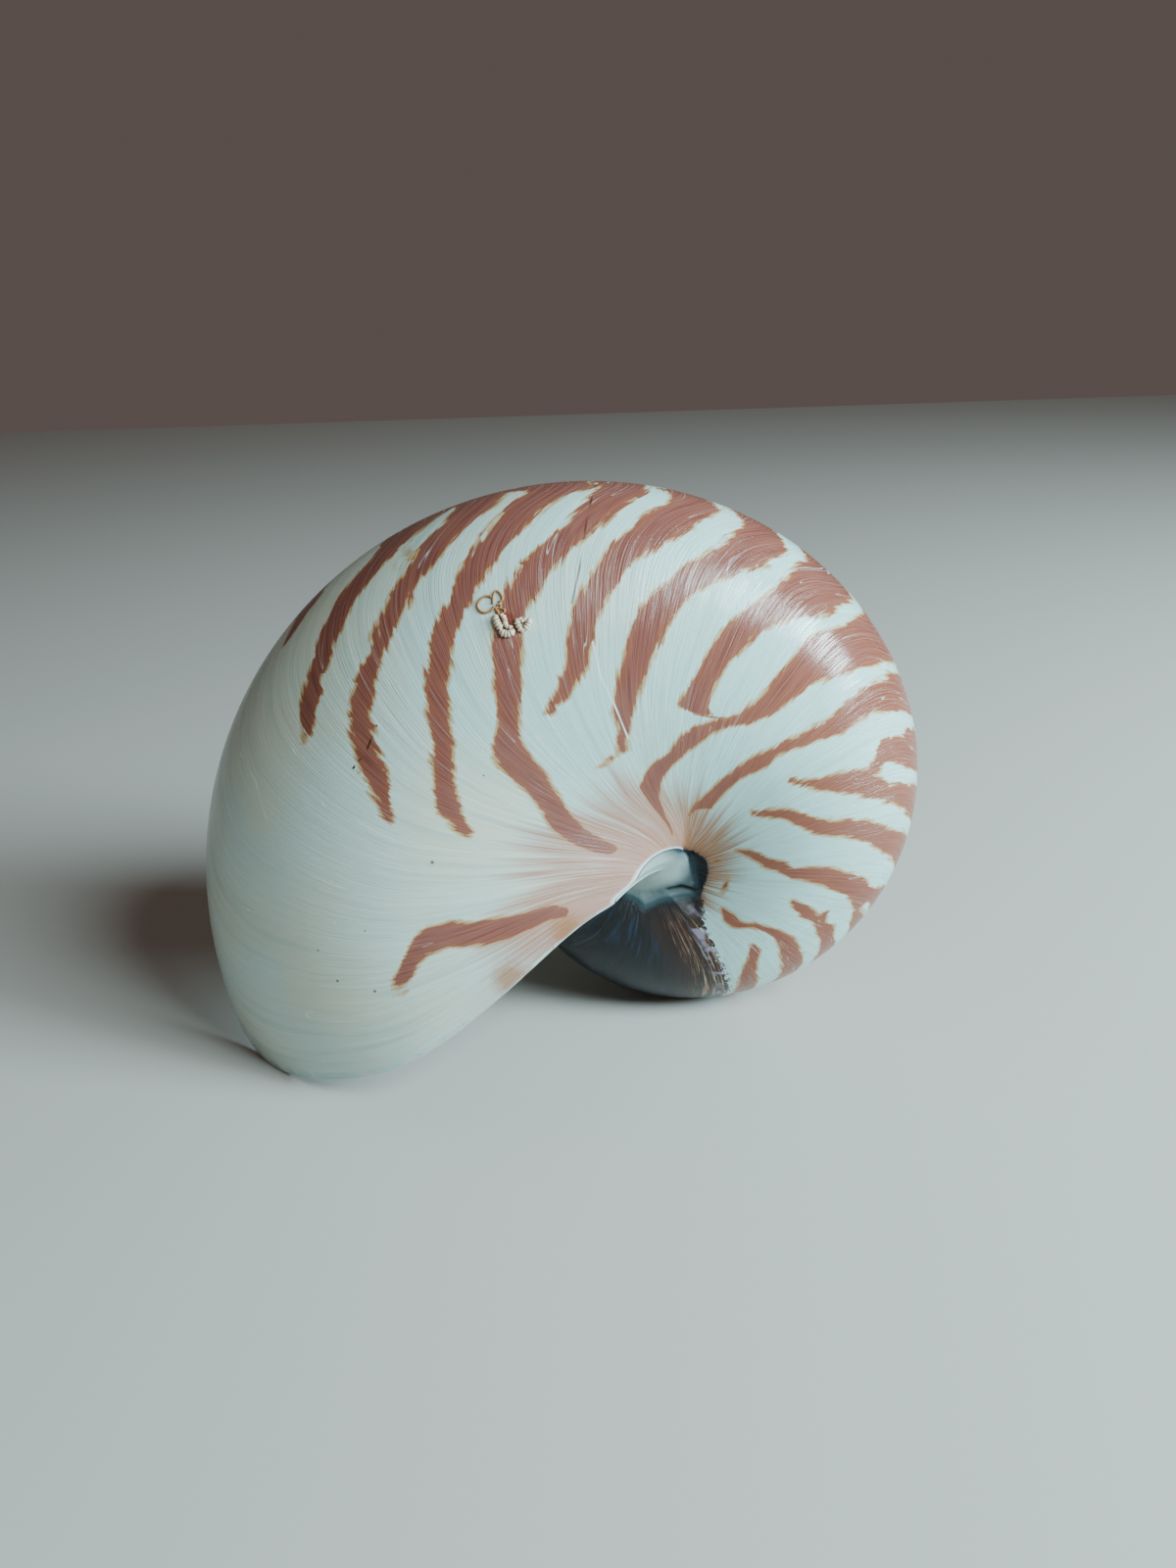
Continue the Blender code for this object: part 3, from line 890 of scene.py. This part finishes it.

    # black film: near black and satiny, with soft streaks of painted bluish sheen, and streaked
    # with brown, cream and lilac where it ends
    low = joined("MULTIPLY", (share, 0.86, 0.72))
    wavy = swayed(film, silk(14.0, 7.0), 5.0)
    cream = layered(tint["filmRust"], ("filmCream", (silk(120.0, 6.0), 0.45, 0.6)))
    filmColour = layered(
        # the bluish streaks are painted sheen
        tint["film"], ("filmBlue", (silk(16.0, 4.0, 4.0), 0.47, 0.75), 0.6),
        ("filmBrown", low, (wavy, 13.0, 8.5)),
        (cream, low, (silk(70.0, 4.0, 4.0, 0.7), 0.5, 0.62), (wavy, 8.2, 6.2)),
        ("filmLilac", low, (add("TexNoise", "3D", place, 420.0, 4.0), 0.46, 0.6),
         (wavy, 3.6, 1.4)))
    speckle = swayed(0.0, add("TexNoise", "3D", place, 1400.0, 2.0), 3.2)
    speckle = swayed(speckle, silk(60.0, 9.0), 2.4)
    filmEnd = add("Math", "MULTIPLY_ADD", speckle, joined("ADD", low, 0.35), film)
    colour = layered(colour, (filmColour, (filmEnd, -0.15, 0.25)))

    # callus: pale pearly mound that fades to teal at its foot, and the flap below it
    foot = swayed(patch, grain, 1.2)
    dark = layered(tint["film"], ("callusTeal", (foot, -2.2, 0.4)))
    colour = layered(
        colour, (dark, (foot, -2.4, 0.4)), ("callus", (foot, 0.0, 1.0)),
        ("callusTeal", (swayed(mound, grain, 1.2), 3.6, -0.2), (patch, -1.0, 0.4), 0.75),
        ("film", (crease, 0.7, 0.1), (patch, -1.0, 0.0)))

    relief = joined(
        "ADD", joined("MULTIPLY", (grooves, 0.0, 0.02), patchy, 0.25),
        joined("MULTIPLY", (fineGrooves, 0.0, 0.06), (growth, 1.6, 0.9, 0.22, 0.62)),
        *(joined("MULTIPLY", pattern, depth)
          for pattern, depth in ((lines, 0.35), (broad, 1.2), (fine, 0.12))))
    bump = add("Bump", Strength=0.5, Distance=0.0002, Height=relief)
    tree.links.new(colour, shader.inputs["Base Color"])
    tree.links.new(swayed(0.18, fine, 0.14), shader.inputs["Roughness"])
    tree.links.new(bump, shader.inputs["Normal"])
    shader.inputs["IOR"].default_value = 1.5
    return material


def nacre():
    # mother-of-pearl lining, as grown: pale and pearly, with cloudy pink, green and cream bands;
    # the pink and green tints are painted iridescent sheen
    material, tree, shader = newMaterial("nacre_natural")
    add = partial(addNode, tree)
    growth = add("Attribute", "growth", out="Fac")
    clouds = add("TexNoise", "3D", add("TexCoord", out="Object"), 38.0, 3.0, Distortion=1.2)
    bands = add("TexNoise", "1D", growth, 22.0, 4.0)
    # the pink and green stops of this ramp are painted iridescent sheen
    pearl = add("ValToRGB", None, add("Math", "MULTIPLY_ADD", bands, 0.35, clouds))
    stops = pearl.node.color_ramp.elements
    stops[0].position, stops[0].color = 0.46, hexColour("#D9C9C6")
    stops[1].position, stops[1].color = 0.94, hexColour("#D8D3C2")
    for spot, code in ((0.60, "#D2D6CC"), (0.72, "#E2DEDA"), (0.83, "#CCD4D8")):
        stops.new(spot).color = hexColour(code)
    fine = add("TexNoise", "1D", growth, 260.0, 2.0)
    bump = add("Bump", Strength=0.3, Distance=0.0001, Height=fine)
    tree.links.new(pearl, shader.inputs["Base Color"])
    tree.links.new(bump, shader.inputs["Normal"])
    for name, value in (("Roughness", 0.25), ("IOR", 1.6), ("Sheen Weight", 0.15)):
        shader.inputs[name].default_value = value
    return material


def paintShell(shell):
    shell.data.materials.clear()
    shell.data.materials.append(porcelainShell())
    shell.data.materials.append(nacre())
    part = getFloats(shell, "part")
    for face in shell.data.polygons:
        lining = sum(0.5 < part[i] < 1.5 for i in face.vertices)
        face.material_index = 1 if lining > len(face.vertices) / 2 else 0


shell = buildShell()
print("shell built", len(shell.data.vertices), "open loops left", len(openLoops(shell)))
markShell(shell)
drawInRim(shell)
standUp(shell)
editAll(shell)
bpy.ops.mesh.normals_make_consistent(inside=False)
setMode("OBJECT")
bpy.ops.object.shade_smooth_by_angle(angle=math.radians(50))
paintShell(shell)
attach(shell, "root")
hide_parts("shell")
print("shell painted")

# worm tubes, two brown rings and ribbed pale lumps that grew on the flank: each one's radius and
# line, in millimetres to the right and up of their middle, as the front view shows them
wormTubes = {
    "middle": (1.85, -0.36),
    "rings": (
        (0.24, ((-1.41, 1.94), (-2.24, 2.24), (-3.06, 2.06), (-3.88, 1.35), (-4.24, .41),
                (-3.88, -.41), (-3.06, -.88), (-2.12, -.77), (-1.35, -.18), (-1.06, .41))),
        (0.22, ((-1.29, .70), (-1.32, 2.06), (-1.0, 3.0), (-.59, 3.24), (0, 2.77), (.47, 1.94),
                (.41, 1.47), (-.24, 1.12))),
        (0.2, ((-.66, .35), (-.24, .77), (.18, .4), (-.1, -.05), (-.5, -.02))),
        (0.18, ((.12, -.29), (.71, -.18), (.88, -.77), (.35, -.94))),
        (0.25, ((-.9, .1), (-.71, -.3), (-.35, -.88), (-.12, -1.47))),
    ),
    "lumps": (
        (0.85, ((-.7, -1.3), (-.75, -2.2), (-.3, -3.2), (.35, -4.1))),
        (0.6, ((0.05, -1.2), (.75, -1.9), (1.0, -2.9), (1.35, -3.6))),
        (0.8, ((-.1, -4.3), (.9, -4.85), (1.95, -4.8), (2.7, -4.1))),
        (0.55, ((1.0, -3.6), (1.9, -3.7), (2.4, -3.4))),
        (0.72, ((3.2, -2.0), (3.4, -3.0), (3.9, -3.9), (4.6, -4.3))),
        (0.72, ((5.6, -1.9), (5.5, -2.8), (5.0, -3.6), (4.5, -4.2))),
        (0.55, ((3.6, -1.9), (4.3, -2.4), (5.1, -2.0))),
    ),
    "gap": 0.14,                    # between the points of a line
    "ribSpacing": 0.55,
    "ribDepth": 0.16,
    "sunk": {"rings": 0.5, "lumps": 0.8},       # shares of the radius under the shell's surface
}


def smoothPath(points, gap):
    # a soft curve through the points, at even steps (millimetres)
    padded = [points[0]] + list(points) + [points[-1]]
    path = []
    for p0, p1, p2, p3 in zip(padded, padded[1:], padded[2:], padded[3:]):
        p0, p1, p2, p3 = (Vector(p) for p in (p0, p1, p2, p3))
        count = max(2, round((p2 - p1).length / gap))
        for i in range(count):
            t = i / count
            path.append(0.5 * (2 * p1 + (p2 - p0) * t + (2 * p0 - 5 * p1 + 4 * p2 - p3) * t * t
                               + (3 * p1 - p0 - 3 * p2 + p3) * t**3))
    return path + [Vector(points[-1])]


def onShellFront(shell, right, up):
    # a place given in the front view, found on the shell
    cameraX, cameraY, forward = cameraAxes()
    start = Vector(studio["cameraPlace"])
    middle = standMatrix() @ outsidePoint(*wormTubes["middle"])
    aim = middle + cameraX * right * 0.001 + cameraY * up * 0.001
    found, point, normal, face = shell.ray_cast(start, (aim - start).normalized())
    return point, normal


def addWormTubes(shell):
    pieces = []
    for kind in ("rings", "lumps"):
        for radius, line in wormTubes[kind]:
            path = smoothPath(line, wormTubes["gap"])
            data = bpy.data.curves.new("tube", "CURVE")
            data.dimensions = "3D"
            data.bevel_depth = radius * 0.001
            data.bevel_resolution = 3 if kind == "rings" else 4
            data.use_fill_caps = True
            spline = data.splines.new("POLY")
            spline.points.add(len(path) - 1)
            for i, (right, up) in enumerate(path):
                point, normal = onShellFront(shell, right, up)
                end = min(i, len(path) - 1 - i) * wormTubes["gap"]
                swell = ease(0.35 + end / (radius * 1.3))       # the ends taper
                if kind == "lumps":
                    rib = math.cos(math.tau * i * wormTubes["gap"] / wormTubes["ribSpacing"])
                    swell *= 1.0 - wormTubes["ribDepth"] * (1 + rib)
                lift = radius * (1.0 - wormTubes["sunk"][kind]) * 0.001 * swell
                spline.points[i].co = (*(point + normal * lift), 1.0)
                spline.points[i].radius = swell
            tube = bpy.data.objects.new("tube", data)
            bpy.context.scene.collection.objects.link(tube)
            onlySelect(tube)
            bpy.ops.object.convert(target="MESH")
            tube = bpy.context.object
            tube.data.materials.append(wormBrown if kind == "rings" else wormPale)
            pieces.append(tube)
    editAll(*pieces)
    bpy.ops.mesh.remove_doubles(threshold=0.00001)
    bpy.ops.mesh.normals_make_consistent(inside=False)
    setMode("OBJECT")
    bpy.ops.object.shade_smooth()
    tubes = bpy.context.object
    tubes.name = tubes.data.name = "worm_tubes"
    return tubes


def wormChalk(name, light, dark):
    # chalky tube of a marine worm: matt, with painted shade from ambient occlusion darkening
    # its edges and the gaps between its ribs, mottled by a fine speckle
    material, tree, shader = newMaterial(name)
    add = partial(addNode, tree)
    speck = add("TexNoise", "3D", add("TexCoord", out="Object"), 1100.0, 3.0)       # 0.9 mm
    # painted shade: the colour turns dark where ambient occlusion finds hollows
    occlusionShade = add("AmbientOcclusion", 8, Distance=0.0009, out="AO")
    cover = add("MapRange", "LINEAR", add("Math", "MULTIPLY", occlusionShade, speck), 0.12, 0.45)
    colour = add("Mix", "RGBA", cover, hexColour(dark), hexColour(light))
    tree.links.new(colour, shader.inputs["Base Color"])
    shader.inputs["Roughness"].default_value = 0.5
    return material


# floor, light and camera: metres, radians and watts, with the focal length in photo pixels
studio = {
    "floor": "#C4C1BC", "sky": "#F6DDD2", "skyStrength": 0.115,
    "cameraPlace": (0.019679, -0.234275, 0.156474),
    "heading": 0.04832, "down": 0.40785, "roll": 0.03684, "focal": 1146.576,
    "photoHeight": 1600.0, "sensor": 36.0,
    "lamps": (      # name, place, what it points at, size, power and tint
        ("window", (0.85, -0.25, 0.42), (0.0, 0.0, 0.06), 0.34, 18.5, "#D3F3FA"),
        ("ceiling", (0.7, -0.45, 0.75), (0.0, 0.0, 0.05), 0.5, 13.0, "#DDF6FA"),
    ),
}
bpy.ops.mesh.primitive_plane_add(size=3.0, location=(0, 0, 0))
floor = bpy.context.object
floor.name = "floor"        # uncoated paper, matt and pale
floorMaterial, floorTree, floorShader = newMaterial("matt_paper")
floorShader.inputs["Base Color"].default_value = hexColour(studio["floor"])
floorShader.inputs["Roughness"].default_value = 0.8
floor.data.materials.append(floorMaterial)

world = bpy.data.worlds.new("soft_room")
bpy.context.scene.world = world
world.use_nodes = True
sky = world.node_tree.nodes["Background"]
sky.inputs["Color"].default_value = hexColour(studio["sky"])
sky.inputs["Strength"].default_value = studio["skyStrength"]


def areaLight(name, place, target, size, power, tint):
    data = bpy.data.lights.new(name, "AREA")
    data.shape, data.size, data.energy, data.color = "DISK", size, power, hexColour(tint)[:3]
    lamp = bpy.data.objects.new(name, data)
    lamp.location = place
    lamp.rotation_euler = (Vector(target) - Vector(place)).to_track_quat("-Z", "Y").to_euler()
    bpy.context.scene.collection.objects.link(lamp)


for lamp in studio["lamps"]:
    areaLight(*lamp)
print("floor and lights placed")


def cameraAxes():
    heading, down, roll = studio["heading"], studio["down"], studio["roll"]
    right = Vector((math.cos(heading), math.sin(heading), 0.0))
    up = Vector((-math.sin(heading) * math.sin(down), math.cos(heading) * math.sin(down),
                 math.cos(down)))
    forward = Vector((-math.sin(heading) * math.cos(down), math.cos(heading) * math.cos(down),
                      -math.sin(down)))
    return (right * math.cos(roll) - up * math.sin(roll),
            right * math.sin(roll) + up * math.cos(roll), forward)


def placeCamera():
    cameraX, cameraY, forward = cameraAxes()
    data = bpy.data.cameras.new("camera")
    data.sensor_width = studio["sensor"]
    data.lens = studio["focal"] / studio["photoHeight"] * studio["sensor"]
    data.clip_start = 0.01
    camera = bpy.data.objects.new("camera", data)
    camera.matrix_world = Matrix.Translation(studio["cameraPlace"]) @ Matrix(
        (cameraX, cameraY, -forward)).transposed().to_4x4()
    bpy.context.scene.collection.objects.link(camera)
    bpy.context.scene.camera = camera


placeCamera()
wormBrown = wormChalk("worm_tube_brown", "#B5763F", "#7A4218")
wormPale = wormChalk("worm_tube_chalk", "#DDCDB6", "#9C7452")
tubes = addWormTubes(shell)
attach(tubes, "root")
print("worm tubes added")
